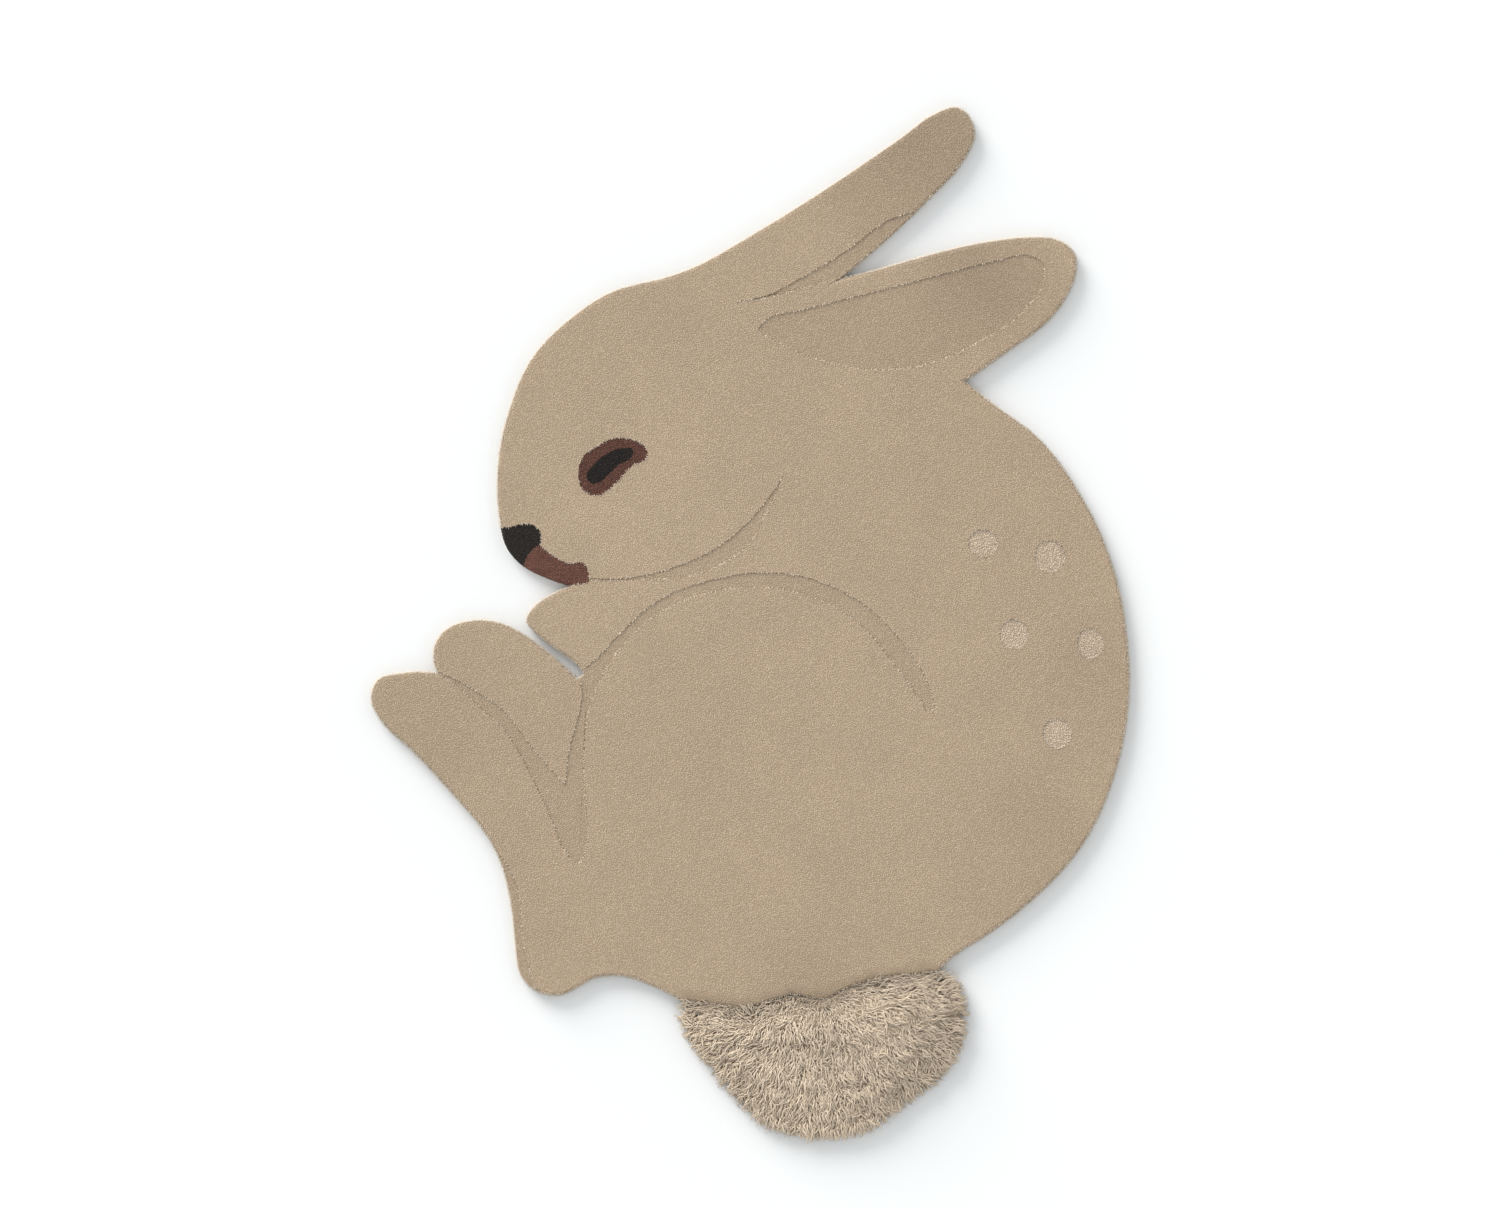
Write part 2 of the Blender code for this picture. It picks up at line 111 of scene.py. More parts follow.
def cut_level(bm, height, keep_above=True):
    """Cut a closed shape level, throw one side away and close the cut."""
    cut = bmesh.ops.bisect_plane(bm, geom=bm.verts[:] + bm.edges[:] + bm.faces[:],
                                 plane_co=(0, 0, height), plane_no=(0, 0, 1), dist=1e-7,
                                 clear_inner=keep_above, clear_outer=not keep_above)
    rim = [item for item in cut["geom_cut"] if isinstance(item, bmesh.types.BMEdge)]
    bmesh.ops.triangle_fill(bm, use_beauty=True, use_dissolve=False, edges=rim)
    bmesh.ops.recalc_face_normals(bm, faces=bm.faces)


def plain_weave(name, colour, thread):
    """Cotton cloth: two sets of threads that cross."""
    finish = bpy.data.materials.new(name)
    finish.use_nodes = True
    tree = finish.node_tree
    shader = tree.nodes["Principled BSDF"]
    where = node(tree, "ShaderNodeTexCoord").outputs["Object"]
    threads = [node(tree, "ShaderNodeTexWave", {
        "Vector": where, "Scale": WAVE_LENGTH / thread, "Distortion": 0.4, "Detail Scale": 2.0},
        bands_direction=direction, wave_profile="SIN").outputs["Fac"] for direction in "XY"]
    weave = maths(tree, "MAXIMUM", *threads)
    dust = node(tree, "ShaderNodeTexNoise", {"Vector": where, "Scale": 40.0, "Detail": 4.0})
    shade = maths(tree, "MULTIPLY", weave, dust.outputs["Fac"])
    tone = node(tree, "ShaderNodeValToRGB", {"Fac": shade})
    gap, top = tone.color_ramp.elements
    gap.color = [level * GAP_TONE for level in linear(colour)[:3]] + [1.0]
    top.color = linear(colour)
    top.position = 0.7
    relief = node(tree, "ShaderNodeBump", {"Height": weave, "Strength": 0.5,
                                           "Distance": THREAD_RELIEF})
    tree.links.new(tone.outputs["Color"], shader.inputs["Base Color"])
    tree.links.new(relief.outputs["Normal"], shader.inputs["Normal"])
    shader.inputs["Roughness"].default_value = 0.9
    return finish


cloth = node_copy("rug_body")
cut_level(cloth, BACKING - SAME, keep_above=False)
backing = piece_from("backing", cloth, plain_weave("woven_cotton", COTTON, THREAD))


# ---- Sheared pile ---------------------------------------------------------------------------
# Wool yarn tufted through the backing and sheared level, then carved lower in the bands. Each
# tuft is a short tapered bundle of cut ends. They stand close on a ground of packed yarn, and
# the ones at an edge lean out over it.
TUFT = 0.0005           # how far the tufts stand out of the ground
TUFT_SINK = 0.0002      # how far they go down into it
TUFT_RADIUS = 0.0016
TUFT_APART = 0.0014     # the least distance between two tufts
TUFT_UP = 0.7           # how strongly the tufts at an edge turn upright
UNRULY = 0.2            # how far they stray from that
HAIR = 0.0026           # how far the loose hairs stand out of the pile's sides
HAIR_RADIUS = 0.0006
HAIR_APART = 0.0010
HAIR_UP = 0.3
HAIR_UNRULY = 0.6
LEVEL = 0.9             # a level face's normal rises more than this
SIDE = 0.5              # and a side's less than this
ALL_ROUND = (-0.3, 1.1)       # how much the normals of the ground's top and sides rise
ROUND_THE_EDGE = (-0.3, 0.8)  # and those of its sides and rim alone
WHOLE = (-1.0, 1.0)     # lines across the rug, before and behind all of it
CROWD = 1.6             # points sown on a square of the least distance, before the thinning
NO_LIMIT = -9.0         # lower than any place on the rug, so it holds nothing back
CLEAR = 0.0004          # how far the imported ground's underside lies over the backing
DRAWN_IN = 0.0008       # how far its sides lie behind the pile's
CARVED = 0.0130         # height of the pile in the carved bands
CARVED_SHADE_TONE = 0.935     # the wool there is painted darker, as shade in the recessed bands
EDGE = -2.2             # and painted lighter by this many times as much at the cut edges round them, as light on their lips
SEAM_SHADE_TONE = 0.62        # how dark the painted shade is along the tail, where the pile gives way to shag
GROOVE = 0.0006         # width of the groove clipped along a band's edges
GROOVE_DEPTH = 0.0001
LIP = 0.0005            # rounding of the higher pile's edge over a groove
BEIGE = (188, 168, 145)
# The loose hairs are painted lighter than the pile, as light shining through them at the edges.
HAIR_BEIGE_PAINTED_LIGHT = (222, 208, 190)
ROOT_SHADE_TONE = (0.90, 0.88, 0.85)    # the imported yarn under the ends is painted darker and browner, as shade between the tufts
SHEEN = 0.06
FIBRES = 900.0          # how many specks of fibre to a metre
CLOUDS = 14.0           # and how many patches of slightly different wool
MIDDLE = (0.3, 0.7)     # the values that a noise texture mostly has
PILE_BANDS = 6          # the body's tufts are made in this many bands from tail to ear
MARGIN = 0.01           # how far the first and the last band reach past the rug
# Places painted darker or lighter, as shade and light on nap that lies another way: x, y, reach,
# tone.
PAINTED_NAP_SHADES = (
    (0.185, 0.515, 0.16, 0.80),    # tip of the upper ear
    (0.250, 0.360, 0.11, 0.86),    # lower ear
    (-0.340, -0.095, 0.14, 0.93),  # toes
    (0.375, -0.060, 0.12, 0.94),   # back
    (0.300, -0.240, 0.13, 0.94),   # rump
    (0.075, -0.375, 0.09, 0.93),   # over the tail
    (-0.115, 0.105, 0.20, 1.04),   # cheek
)


def clip_grooves(bm):
    """Clip a groove along the edges of the carved bands and round the higher pile's edge.

    The layer carved is 1 on the bands, which are painted darker as shade, EDGE on the walls and
    lips round them, which are painted lighter as light on them, and 0 elsewhere.
    """
    carved = bm.faces.layers.float.new("carved")
    floors = [face for face in bm.faces
              if face.normal.z > LEVEL and abs(face.calc_center_median().z - CARVED) < SAME]
    if not floors:
        return
    rings = bmesh.ops.inset_region(bm, faces=floors, thickness=GROOVE,
                                   use_even_offset=True, use_boundary=True)["faces"]
    walls = {wall for ring in rings for vert in ring.verts for wall in vert.link_faces
             if wall.calc_center_median().z > CARVED + SAME and abs(wall.normal.z) < SIDE}
    for face in [*rings, *floors]:
        face[carved] = 1
    for wall in walls:
        wall[carved] = EDGE
    corners = {vert for wall in walls for vert in wall.verts if vert.co.z < CARVED + SAME}
    bmesh.ops.translate(bm, verts=list(corners), vec=(0, 0, -GROOVE_DEPTH))
    lips = [edge for wall in walls for edge in wall.edges
            if any(face.normal.z > LEVEL and face not in rings for face in edge.link_faces)]
    rounded = bmesh.ops.bevel(bm, geom=lips, offset=LIP, segments=2, profile=0.5,
                              affect="EDGES", clamp_overlap=True, material=-1)["faces"]
    for face in rounded:
        face[carved] = EDGE


def ground(name, sink=TUFT):
    """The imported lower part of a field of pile: the solid, lowered, without its backing.

    The sides of pockets and carved bands stay where they are. The others are drawn in.
    """
    bm = node_copy(name)
    bottom = BACKING + CLEAR
    cut_level(bm, bottom)
    clip_grooves(bm)
    carved = bm.faces.layers.float["carved"]
    moves = []
    for vert in bm.verts:
        walls = [face for face in vert.link_faces if abs(face.normal.z) < SIDE]
        tops = [face for face in vert.link_faces if face.normal.z > SIDE]
        aside = sum((face.normal for face in walls), Vector())
        aside.z = 0
        lowest = min((corner.co.z for wall in walls for corner in wall.verts), default=1)
        pocket = tops and lowest < bottom + SAME
        beside_band = any(face[carved] for face in vert.link_faces)
        move = Vector()
        if aside.length > 1e-6 and not pocket and not beside_band:
            move -= aside.normalized() * DRAWN_IN
        if vert.co.z > bottom + SAME:
            move.z -= sink
        moves.append(move)
    for vert, move in zip(bm.verts, moves):
        vert.co += move
    return bm


def tuft_shape(radius, height, sink):
    """One tuft, from its buried root up. The layer tip is 1 at the cut end and 0 at the root."""
    bm = bmesh.new()
    bmesh.ops.create_cone(bm, cap_ends=True, segments=3, radius1=radius, radius2=0,
                          depth=height + sink)
    bmesh.ops.translate(bm, verts=bm.verts, vec=(0, 0, (height - sink) / 2))
    tip = bm.verts.layers.float.new("tip")
    for vert in bm.verts:
        vert[tip] = (vert.co.z + sink) / (height + sink)
    return bm


def seeds(name, shapes):
    """The shapes as meshes to copy from, which aren't part of the rug themselves."""
    stock = bpy.data.collections.new(name)
    for number, bm in enumerate(shapes, 1):
        for face in bm.faces:
            face.smooth = True
        mesh = bpy.data.meshes.new(f"{name}_{number}")
        bm.to_mesh(mesh)
        bm.free()
        stock.objects.link(bpy.data.objects.new(f"{name}_{number}", mesh))
    return stock


def drawn(tree, low, high, seed, vectors=False):
    """A number or a vector drawn at random for each copy."""
    if vectors:
        return node(tree, "FunctionNodeRandomValue", {
            0: (low,) * 3, 1: (high,) * 3, "Seed": seed}, data_type="FLOAT_VECTOR").outputs[0]
    return node(tree, "FunctionNodeRandomValue", {2: low, 3: high, "Seed": seed}).outputs[1]


def spread(tree, value, low, high, span=(0.0, 1.0), **settings):
    """Spread the values of a span from low to high."""
    return node(tree, "ShaderNodeMapRange", {
        "Value": value, "From Min": span[0], "From Max": span[1], "To Min": low, "To Max": high},
        **settings).outputs[0]


def sown(tree, soil, place, apart, rows, slopes, seed):
    """Points on a ground where it has the slopes, between two lines across the rug.

    The slopes are the least and the greatest upward part of the ground's normal. Its normal at
    the points is the second output.
    """
    facing = node(tree, "ShaderNodeSeparateXYZ",
                  {0: node(tree, "GeometryNodeInputNormal").outputs[0]})
    sloped = node(tree, "FunctionNodeCompare", {
        0: facing.outputs["Z"], 1: (slopes[0] + slopes[1]) / 2,
        "Epsilon": (slopes[1] - slopes[0]) / 2}, operation="EQUAL")
    points = node(tree, "GeometryNodeDistributePointsOnFaces", {
        "Mesh": soil, "Selection": sloped.outputs[0], "Distance Min": apart,
        "Density Max": CROWD / apart ** 2, "Density Factor": 1.0, "Seed": seed},
        distribute_method="POISSON")
    along = node(tree, "ShaderNodeSeparateXYZ", {0: place}).outputs["Y"]
    past = node(tree, "FunctionNodeCompare", {0: along, 1: rows[1]}, operation="GREATER_THAN")
    before = node(tree, "FunctionNodeCompare", {0: along, 1: rows[0]}, operation="LESS_THAN")
    other = node(tree, "FunctionNodeBooleanMath", {0: past.outputs[0], 1: before.outputs[0]},
                 operation="OR")
    kept = node(tree, "GeometryNodeDeleteGeometry", {
        0: points.outputs["Points"], 1: other.outputs[0]}, domain="POINT")
    return kept.outputs[0], points.outputs["Normal"]


def planting(shapes, apart, up, unruly, rows=WHOLE, seed=10, slopes=ALL_ROUND,
             smallest=0.8, largest=1.25, comb=None):
    """Nodes that plant copies of the shapes on a ground, between two lines across the rug.

    The copies stand as the ground faces, pulled upright by up and astray by unruly. They are
    turned at random, or by the comb if there is one. Their layer yarn is a number drawn for
    each copy. No vertex lies lower over the floor than its layer over says.
    """
    tree = bpy.data.node_groups.new("planting", "GeometryNodeTree")
    tree.interface.new_socket("Geometry", in_out="INPUT", socket_type="NodeSocketGeometry")
    tree.interface.new_socket("Geometry", in_out="OUTPUT", socket_type="NodeSocketGeometry")
    soil = node(tree, "NodeGroupInput").outputs[0]
    place = node(tree, "GeometryNodeInputPosition").outputs[0]
    points, facing = sown(tree, soil, place, apart, rows, slopes, seed)
    stray = drawn(tree, -unruly, unruly, seed + 1, vectors=True)
    straight = maths(tree, "ADD", facing, (0, 0, up), vectors=True)
    lean = maths(tree, "ADD", straight, stray, vectors=True)
    upright = node(tree, "FunctionNodeAlignRotationToVector", {"Vector": lean},
                   axis="Z").outputs[0]
    if comb:
        points, turn = comb(tree, points, place, upright, stray)
    else:
        spin = node(tree, "ShaderNodeCombineXYZ", {"Z": drawn(tree, 0.0, math.tau, seed + 2)})
        euler = node(tree, "FunctionNodeEulerToRotation", {0: spin.outputs[0]})
        turn = node(tree, "FunctionNodeRotateRotation", {0: upright, 1: euler.outputs[0]},
                    rotation_space="LOCAL").outputs[0]
    kinds = node(tree, "GeometryNodeCollectionInfo", {
        "Collection": shapes, "Separate Children": True, "Reset Children": True})
    copies = node(tree, "GeometryNodeInstanceOnPoints", {
        "Points": points, "Instance": kinds.outputs[0], "Pick Instance": True, "Rotation": turn,
        "Scale": drawn(tree, smallest, largest, seed + 3, vectors=True)})
    dyed = node(tree, "GeometryNodeStoreNamedAttribute", {
        "Geometry": copies.outputs[0], "Name": "yarn", "Value": drawn(tree, 0.0, 1.0, seed + 4)},
        data_type="FLOAT", domain="INSTANCE")
    whole = node(tree, "GeometryNodeRealizeInstances", {0: dyed.outputs[0]})
    over = node(tree, "GeometryNodeInputNamedAttribute", {"Name": "over"}).outputs["Attribute"]
    floor = node(tree, "ShaderNodeCombineXYZ", {"X": NO_LIMIT, "Y": NO_LIMIT, "Z": over})
    resting = node(tree, "GeometryNodeSetPosition", {
        "Geometry": whole.outputs[0],
        "Position": maths(tree, "MAXIMUM", place, floor.outputs[0], vectors=True)})
    node(tree, "NodeGroupOutput", {0: resting.outputs[0]})
    return tree


def plan_map(mesh):
    """A map of the piece seen from above, for its colours."""
    plan = [vert.co.xy for vert in mesh.vertices]
    low = Vector((min(place.x for place in plan), min(place.y for place in plan)))
    high = Vector((max(place.x for place in plan), max(place.y for place in plan)))
    layer = mesh.uv_layers.new(name="OFBake")
    size = high - low
    places = [((place.x - low.x) / size.x, (place.y - low.y) / size.y) for place in plan]
    layer.data.foreach_set("uv", [value for loop in mesh.loops
                                  for value in places[loop.vertex_index]])


def planted(name, soil, finish, group):
    """The copies that the nodes plant on a ground, as one piece."""
    grower = soil.modifiers.new("planting", "NODES")
    grower.node_group = group
    bpy.context.view_layer.update()
    shown = soil.evaluated_get(bpy.context.evaluated_depsgraph_get())
    bm = bmesh.new()
    bm.from_mesh(shown.to_mesh())
    shown.to_mesh_clear()
    soil.modifiers.remove(grower)
    piece = piece_from(name, bm, finish)
    plan_map(piece.data)
    return piece


def wool(name, colour, root_shade=0.9, flecks=0.08, shades=()):
    """Heathered wool, whose roots are painted darker, as shade between the tufts, to a given share
    of the tips' tone.

    Flecks is how much its yarns differ. Shades are places painted darker or lighter, as light
    and shade on nap that lies another way: x, y, reach, tone.
    """
    finish = bpy.data.materials.new(name)
    finish.use_nodes = True
    tree = finish.node_tree
    shader = tree.nodes["Principled BSDF"]
    where = node(tree, "ShaderNodeTexCoord").outputs["Object"]
    yarn, tip, carved, seam = (
        node(tree, "ShaderNodeAttribute", attribute_name=layer).outputs["Fac"]
        for layer in ("yarn", "tip", "carved", "seam"))
    fibre = node(tree, "ShaderNodeTexNoise", {"Vector": where, "Scale": FIBRES, "Detail": 2.0})
    cloud = node(tree, "ShaderNodeTexNoise", {"Vector": where, "Scale": CLOUDS, "Detail": 3.0})
    tone = maths(tree, "ADD", spread(tree, yarn, 1 - flecks, 1 + flecks),
                 spread(tree, fibre.outputs["Fac"], -flecks / 2, flecks / 2, span=MIDDLE))
    shares = [spread(tree, cloud.outputs["Fac"], 0.97, 1.03, span=MIDDLE),
              # painted shade: darker towards the tufts' roots
              spread(tree, tip, root_shade, 1.0),
              # painted shade in the carved bands, painted light at their cut edges
              spread(tree, carved, 1.0, CARVED_SHADE_TONE, clamp=False),
              # painted shade along the seam with the tail
              spread(tree, seam, 1.0, SEAM_SHADE_TONE)]
    # painted shade and light at the listed places
    for x, y, reach, share in shades:
        away = node(tree, "ShaderNodeVectorMath", {0: where, 1: (x, y, 0)},
                    operation="DISTANCE").outputs["Value"]
        shares.append(spread(tree, away, share, 1.0, span=(0.0, reach),
                             interpolation_type="SMOOTHSTEP"))
    for share in shares:
        tone = maths(tree, "MULTIPLY", tone, share)
    tint = node(tree, "ShaderNodeVectorMath", {0: linear(colour)[:3], "Scale": tone},
                operation="SCALE")
    tree.links.new(tint.outputs[0], shader.inputs["Base Color"])
    shader.inputs["Roughness"].default_value = 0.95
    shader.inputs["Specular IOR Level"].default_value = 0.2
    shader.inputs["Sheen Weight"].default_value = SHEEN
    shader.inputs["Sheen Roughness"].default_value = 0.6
    return finish


def darker(levels):
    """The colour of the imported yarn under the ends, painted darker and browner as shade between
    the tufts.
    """
    return tuple(level * share for level, share in zip(levels, ROOT_SHADE_TONE))


tuft = seeds("tuft", [tuft_shape(TUFT_RADIUS, TUFT, TUFT_SINK)])
hair = seeds("hair", [tuft_shape(HAIR_RADIUS, HAIR, TUFT_SINK)])
beige = wool("beige_wool", BEIGE, shades=PAINTED_NAP_SHADES)
beige_root = wool("beige_wool_root", darker(BEIGE), shades=PAINTED_NAP_SHADES)
pile_ground = piece_from("pile_ground", ground("rug_body"), beige_root,
                         ("rug_body",))
pile = [pile_ground]
foot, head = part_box("rug_body")[0].y - MARGIN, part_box("rug_body")[1].y + MARGIN
for number in range(PILE_BANDS):
    start, end = (foot + (head - foot) * share / PILE_BANDS for share in (number, number + 1))
    nodes = planting(tuft, TUFT_APART, TUFT_UP, UNRULY, rows=(start, end))
    pile.append(planted(f"pile_{number + 1}", pile_ground, beige, nodes))
# painted lighter, as light through the loose hairs
hair_wool = wool("beige_hairs", HAIR_BEIGE_PAINTED_LIGHT)
nodes = planting(hair, HAIR_APART, HAIR_UP, HAIR_UNRULY, slopes=ROUND_THE_EDGE, seed=20)
pile.append(planted("pile_hairs", pile_ground, hair_wool, nodes))


# ---- Eye, nose and mouth --------------------------------------------------------------------
# The same wool, dyed brown and black, tufted into the same backing and sheared with the rest.
# Nothing parts the fields but the change of yarn, so their edges are as rough as the tufts.
BROWN = (106, 71, 60)
MOUTH_BROWN = (121, 83, 71)
BLACK = (38, 33, 30)
NOSE_BLACK = (45, 39, 35)
DARK_TUFT = 0.0011
FIELD_UNRULY = 0.6


def field(name, levels, shapes, sink, flecks, seed=10):
    """A field of yarn in the place of its solid: the ground and one piece of tufts."""
    root = wool(f"{name}_root", darker(levels))
    soil = piece_from(f"{name}_ground", ground(name, sink), root, (name,))
    nodes = planting(shapes, TUFT_APART, TUFT_UP, FIELD_UNRULY, seed=seed)
    finish = wool(f"{name}_wool", levels, flecks=flecks)
    tufts = planted(f"{name}_tufts", soil, finish, nodes)
    return [soil, tufts]


dark_tuft = seeds("dark_tuft", [tuft_shape(TUFT_RADIUS, DARK_TUFT, TUFT_SINK)])
face = []
for name, levels, slot in (("eye_rim", BROWN, "brown_yarn"), ("pupil", BLACK, "black_yarn"),
                           ("nose", NOSE_BLACK, "black_yarn"),
                           ("mouth", MOUTH_BROWN, "brown_yarn")):
    face += field(name, levels, dark_tuft, sink=DARK_TUFT, flecks=0.25)


# ---- Spots ----------------------------------------------------------------------------------
# Five round fields of lighter wool on the back. They are clipped a little lower than the pile
# round them, and their tufts stand more loosely.
LIGHT = (214, 196, 175)
SPOT_TUFT = 0.0012
SPOT_PROUD = 0.0003     # how far its tips stand over the solid
SPOTS = 5

spot_tuft = seeds("spot_tuft", [tuft_shape(TUFT_RADIUS, SPOT_TUFT, TUFT_SINK)])
spots = []
for number in range(1, SPOTS + 1):
    spots += field(f"spot_{number}", LIGHT, spot_tuft,
                   sink=SPOT_TUFT - SPOT_PROUD, flecks=0.12, seed=number)


# ---- Tail -----------------------------------------------------------------------------------
# Shag of the same light yarn, left long and not sheared. Its strands rise from the backing, lie
# over away from the body and cling together in wavy locks, with dark gaps down to the roots,
# whose ground is also painted darker as shade.
SHAG = (209, 191, 169)
STRAND = 0.0012         # width of a strand
FLAT = 0.65             # its thickness, of its width
STRAND_REACH = 0.0125   # from its root to its tip, as it lies
STRAND_RISE = 0.0017    # how high it arches
STRAND_DROP = 0.0012    # how far its tip sinks below its root
STRAND_THINNING = 0.35  # how much thinner its tip is
STRAND_STEPS = 3
STRAND_KINDS = 8
STRAND_APART = 0.0012
STRAND_UP = 0.3
RIM_UP = 0.6            # the strands at the rim turn more upright
STRAND_UNRULY = 0.25
WAVE = 0.0015           # how far a strand swings to each side
LUMP = 0.0022           # how far the highest locks stand above the rest
# Places on the tail painted lighter or darker, as light and shade on its locks: x, y, reach, tone.
SHAG_PAINTED_SHADES = (
    (0.090, -0.530, 0.17, 1.20),   # the tail's end
    (-0.035, -0.420, 0.09, 1.07),  # its left corner
    (0.090, -0.470, 0.08, 0.86),   # its middle
)
FAN = (0.072, -0.370, 0.02)   # the strands lie over away from here
SWIRLS = 75.0           # how many swirls of strands to a metre
SWIRL = 4.5             # how strongly a swirl turns them
TAIL_MIDDLE = -0.445    # the strands are made in two halves, below and above this
RIM_SLOPE = 0.5         # where the ground's normal rises less than this, they are short
PILE_SEAM = 0.011       # how far the painted shade along the seam reaches into the pile
SHAG_SEAM = 0.014       # and into the shag
SEAM_FULL = 1.3         # how dark the painted shade of the seam starts, of which 1 is the most
SEAM_RAGGED = 0.5
SEAM_GRAIN = 90         # how many ragged places to a metre
STEEP = 0.2             # a face whose normal rises less than this adds nothing to the plan
HEM = 0.0175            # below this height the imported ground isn't smoothed
SMOOTHINGS = 8
SHAG_SHARE = (0.985, 0.985, 0.86)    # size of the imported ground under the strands, of the solid's


def strand_shape(dice):
    """A strand that rises from its root, lies over towards +X and thins to its tip.

    The layer over says how high over the floor each vertex has to stay.
    """
    bm = bmesh.new()
    bmesh.ops.create_cone(bm, cap_ends=True, segments=3, radius1=STRAND / 2, radius2=STRAND / 2,
                          depth=STRAND)
    tip = bm.verts.layers.float.new("tip")
    over = bm.verts.layers.float.new("over")
    face = max(bm.faces, key=lambda face: face.calc_center_median().z)
    corners = [Vector((-vert.co.x, -vert.co.y * FLAT)) for vert in face.verts]
    phase, swings = dice.uniform(0, math.tau), dice.uniform(0.5, 1.5)
    reach = STRAND_REACH * dice.uniform(0.75, 1.2)
    rise = STRAND_RISE * dice.uniform(0.7, 1.4)
    centre = Vector()
    for step in range(1, STRAND_STEPS + 1):
        share = step / STRAND_STEPS
        side = WAVE * (math.sin(phase + math.tau * swings * share) - math.sin(phase))
        height = rise * math.sin(math.pi * share ** 0.6) - STRAND_DROP * share ** 2
        here = Vector((reach * share, side, height))
        turn = (here - centre).to_track_quat("Z", "Y")
        size = 1 - STRAND_THINNING * share ** 3
        if step > 1:
            face = bmesh.ops.extrude_discrete_faces(bm, faces=[face])["faces"][0]
        for corner, vert in zip(corners, face.verts):
            vert.co = here + turn @ Vector((*corner * size, 0))
            vert[tip] = share
            vert[over] = vert.co.z - here.z + STRAND / 2
        centre = here
    return bm


def combed(tree, points, place, upright, stray):
    """Turn the strands away from the fan point, swirl them into locks and lift the locks."""
    swirl = node(tree, "ShaderNodeTexNoise", {"Vector": place, "Scale": SWIRLS, "Detail": 1.0})
    centred = maths(tree, "SUBTRACT", swirl.outputs["Color"], (0.5,) * 3, vectors=True)
    away = maths(tree, "SUBTRACT", place, FAN, vectors=True)
    flow = maths(tree, "NORMALIZE", away, vectors=True)
    turned = maths(tree, "MULTIPLY_ADD", centred, (SWIRL,) * 3, flow, vectors=True)
    turn = node(tree, "FunctionNodeAlignRotationToVector", {
        "Rotation": upright, "Vector": maths(tree, "ADD", turned, stray, vectors=True)},
        axis="X", pivot_axis="Z")
    lump = spread(tree, swirl.outputs["Fac"], -LUMP / 2, LUMP, span=MIDDLE)
    lift = node(tree, "ShaderNodeCombineXYZ", {"Z": lump})
    lifted = node(tree, "GeometryNodeSetPosition", {"Geometry": points,
                                                    "Offset": lift.outputs[0]})
    return lifted.outputs[0], turn.outputs[0]


def shade_seam(pieces, beside, reach):
    """Mark the yarn near the seam with the piece beside, to be painted darker there as shade.

    The layer seam is 1 there and falls to 0, raggedly, somewhat beyond the reach.
    """
    bm = bmesh.new()
    bm.from_mesh(beside.data)
    steep = [face for face in bm.faces if face.normal.z < STEEP]
    bmesh.ops.delete(bm, geom=steep, context="FACES")
    bm.transform(Matrix.Diagonal((1, 1, 0, 1)))
    plan = BVHTree.FromBMesh(bm)
    bm.free()
    for piece in pieces:
        shade = piece.data.attributes.new("seam", "FLOAT", "POINT")
        for vert, mark in zip(piece.data.vertices, shade.data):
            apart = plan.find_nearest(vert.co.xy.to_3d())[3]
            ragged = SEAM_RAGGED * noise.noise(vert.co * SEAM_GRAIN)
            mark.value = min(1, max(0, SEAM_FULL - apart / reach + ragged))


dice = random.Random(5)
strands = seeds("strand", [strand_shape(dice) for _ in range(STRAND_KINDS)])
shag = wool("shag_wool", SHAG, root_shade=1.0, flecks=0.03, shades=SHAG_PAINTED_SHADES)
tail_low, tail_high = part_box("tail_shag")
hinge = Vector(((tail_low.x + tail_high.x) / 2, tail_high.y, 0))
packed = node_copy("tail_shag")
packed.transform(Matrix.Translation(hinge) @ Matrix.Diagonal((*SHAG_SHARE, 1))
                 @ Matrix.Translation(-hinge))
slopes = [vert for vert in packed.verts if vert.co.z > HEM]
for _ in range(SMOOTHINGS):
    bmesh.ops.smooth_vert(packed, verts=slopes, factor=0.5, use_axis_z=True)
shag_root = wool("shag_wool_root", darker(SHAG))
tail_ground = piece_from("tail_ground", packed, shag_root, ("tail_shag",))
tail = [tail_ground]
for number, rows in enumerate(((WHOLE[0], TAIL_MIDDLE), (TAIL_MIDDLE, WHOLE[1])), 1):
    nodes = planting(strands, STRAND_APART, STRAND_UP, STRAND_UNRULY, rows=rows, seed=40,
                     slopes=(RIM_SLOPE, ALL_ROUND[1]), comb=combed)
    tail.append(planted(f"tail_strands_{number}", tail_ground, shag, nodes))
nodes = planting(strands, STRAND_APART, RIM_UP, STRAND_UNRULY, seed=60,
                 slopes=(ALL_ROUND[0], RIM_SLOPE), smallest=0.45, largest=0.75, comb=combed)
tail.append(planted("tail_rim_strands", tail_ground, shag, nodes))
# painted shade along the seam, on both sides of it
shade_seam([pile[1], pile[2]], tail_ground, PILE_SEAM)
shade_seam(tail, pile_ground, SHAG_SEAM)


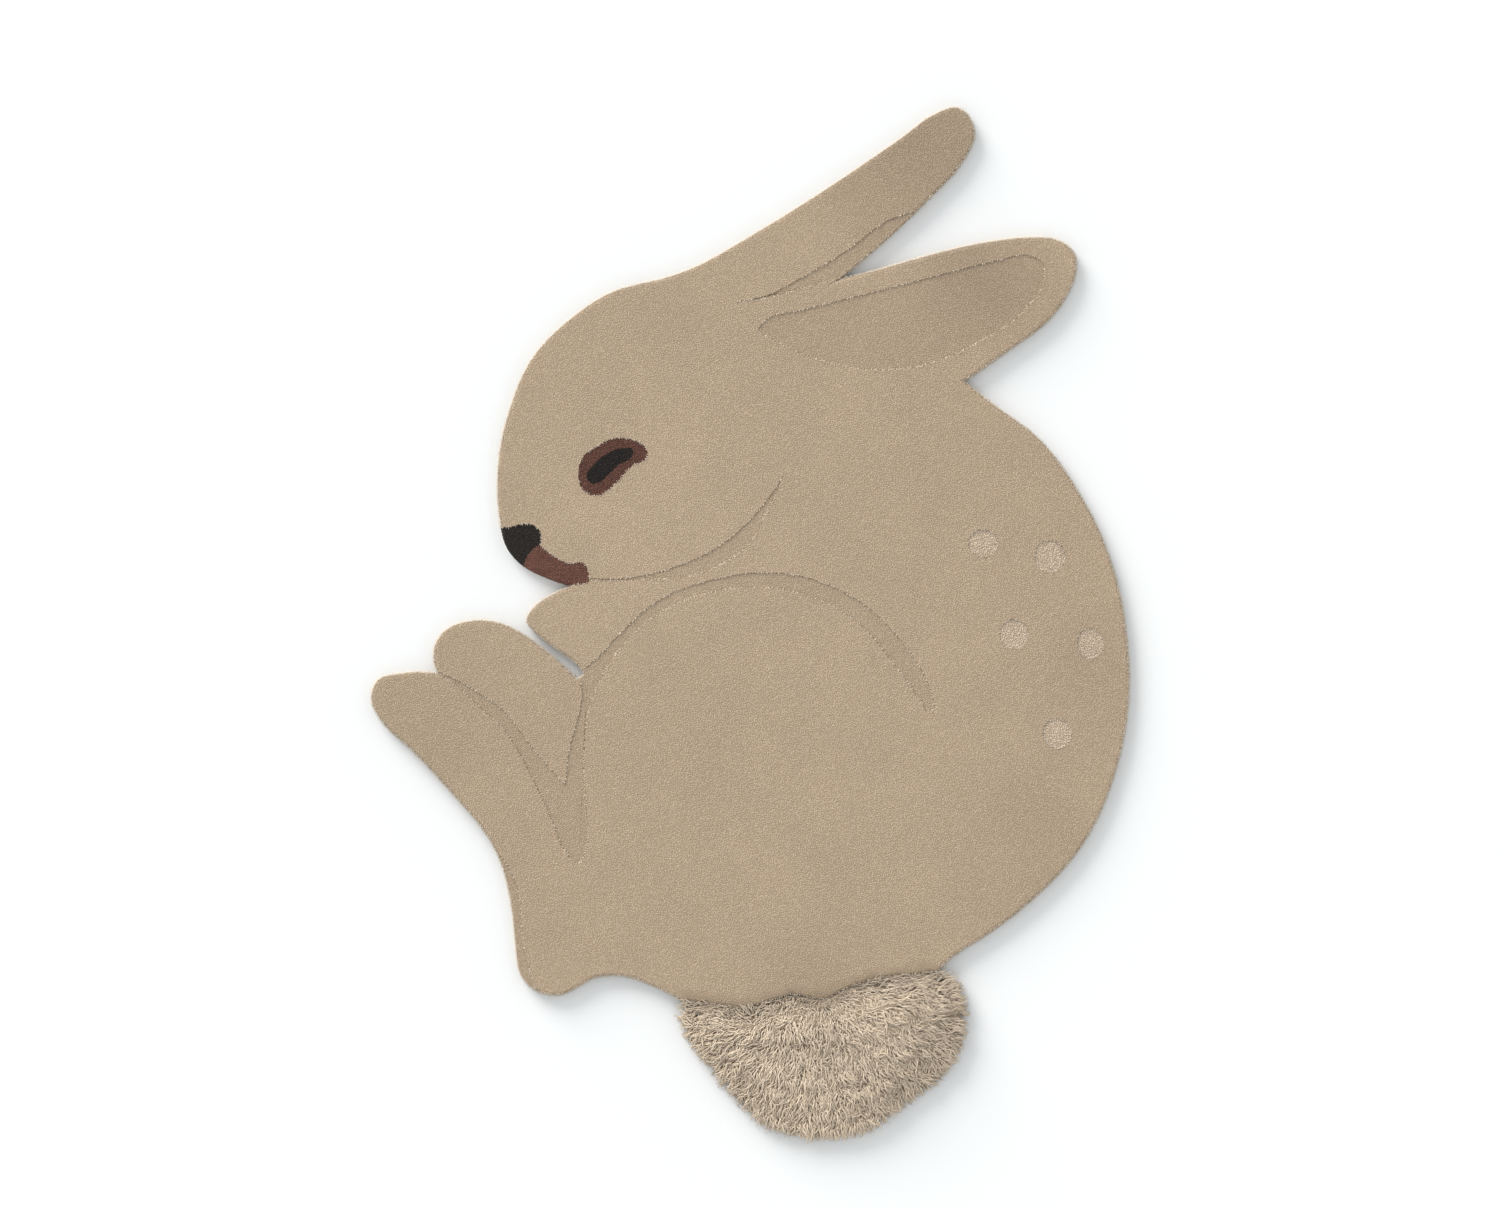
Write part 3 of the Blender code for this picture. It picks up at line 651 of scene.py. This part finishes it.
# ---- Room and camera ------------------------------------------------------------------------
# A plain white studio floor, a soft lamp from the upper left and light from all round. The
# camera looks straight down from far above, as the photo was taken.
PIXEL = 0.001065        # width of one of the photo's pixels on the rug
PHOTO_WIDTH = 1500
CAMERA_HEIGHT = 8.0
VIEW_CENTRE = (0.0008, 0.0186)   # where the photo's middle lies on the rug
FILL = 0.96
FILL_COLOUR = (0.95, 0.985, 1.0, 1)
KEY = 3.3
KEY_COLOUR = (1.0, 0.985, 0.96)
KEY_WAY = (-0.72, 1.0, 0.49)   # towards the lamp
KEY_SOFTNESS = 34              # degrees across
PILE_TOP = 0.014        # the height at which the photo's pixels are measured
FLOOR_HEIGHT = -0.0002
FLOOR_REACH = 30        # from its middle to its sides
PAPER = (0.77, 0.77, 0.77, 1)
SENSOR = 36

floor_shape = bmesh.new()
bmesh.ops.create_grid(floor_shape, x_segments=1, y_segments=1, size=FLOOR_REACH)
bmesh.ops.translate(floor_shape, verts=floor_shape.verts, vec=(0, 0, FLOOR_HEIGHT))
sheet_of_paper = bpy.data.meshes.new("floor")
floor_shape.to_mesh(sheet_of_paper)
floor = bpy.data.objects.new("floor", sheet_of_paper)
bpy.context.scene.collection.objects.link(floor)
paper = bpy.data.materials.new("white_floor")
paper.use_nodes = True
matt = paper.node_tree.nodes["Principled BSDF"]
matt.inputs["Base Color"].default_value = PAPER
matt.inputs["Roughness"].default_value = 1.0
matt.inputs["Specular IOR Level"].default_value = 0.0
floor.data.materials.append(paper)

lamp = bpy.data.lights.new("key", "SUN")
lamp.energy = KEY
lamp.angle = math.radians(KEY_SOFTNESS)
lamp.color = KEY_COLOUR
key = bpy.data.objects.new("key", lamp)
key.rotation_euler = Vector(KEY_WAY).to_track_quat("Z", "Y").to_euler()
bpy.context.scene.collection.objects.link(key)

sky = bpy.data.worlds.new("studio")
sky.use_nodes = True
sky.node_tree.nodes["Background"].inputs["Color"].default_value = FILL_COLOUR
sky.node_tree.nodes["Background"].inputs["Strength"].default_value = FILL
bpy.context.scene.world = sky
bpy.context.scene.view_settings.view_transform = "Standard"

lens = bpy.data.cameras.new("camera")
lens.sensor_width = SENSOR
lens.lens = SENSOR * (CAMERA_HEIGHT - PILE_TOP) / (PHOTO_WIDTH * PIXEL)
lens.clip_end = 100
camera = bpy.data.objects.new("camera", lens)
camera.location = (*VIEW_CENTRE, CAMERA_HEIGHT)
bpy.context.scene.collection.objects.link(camera)
bpy.context.scene.camera = camera
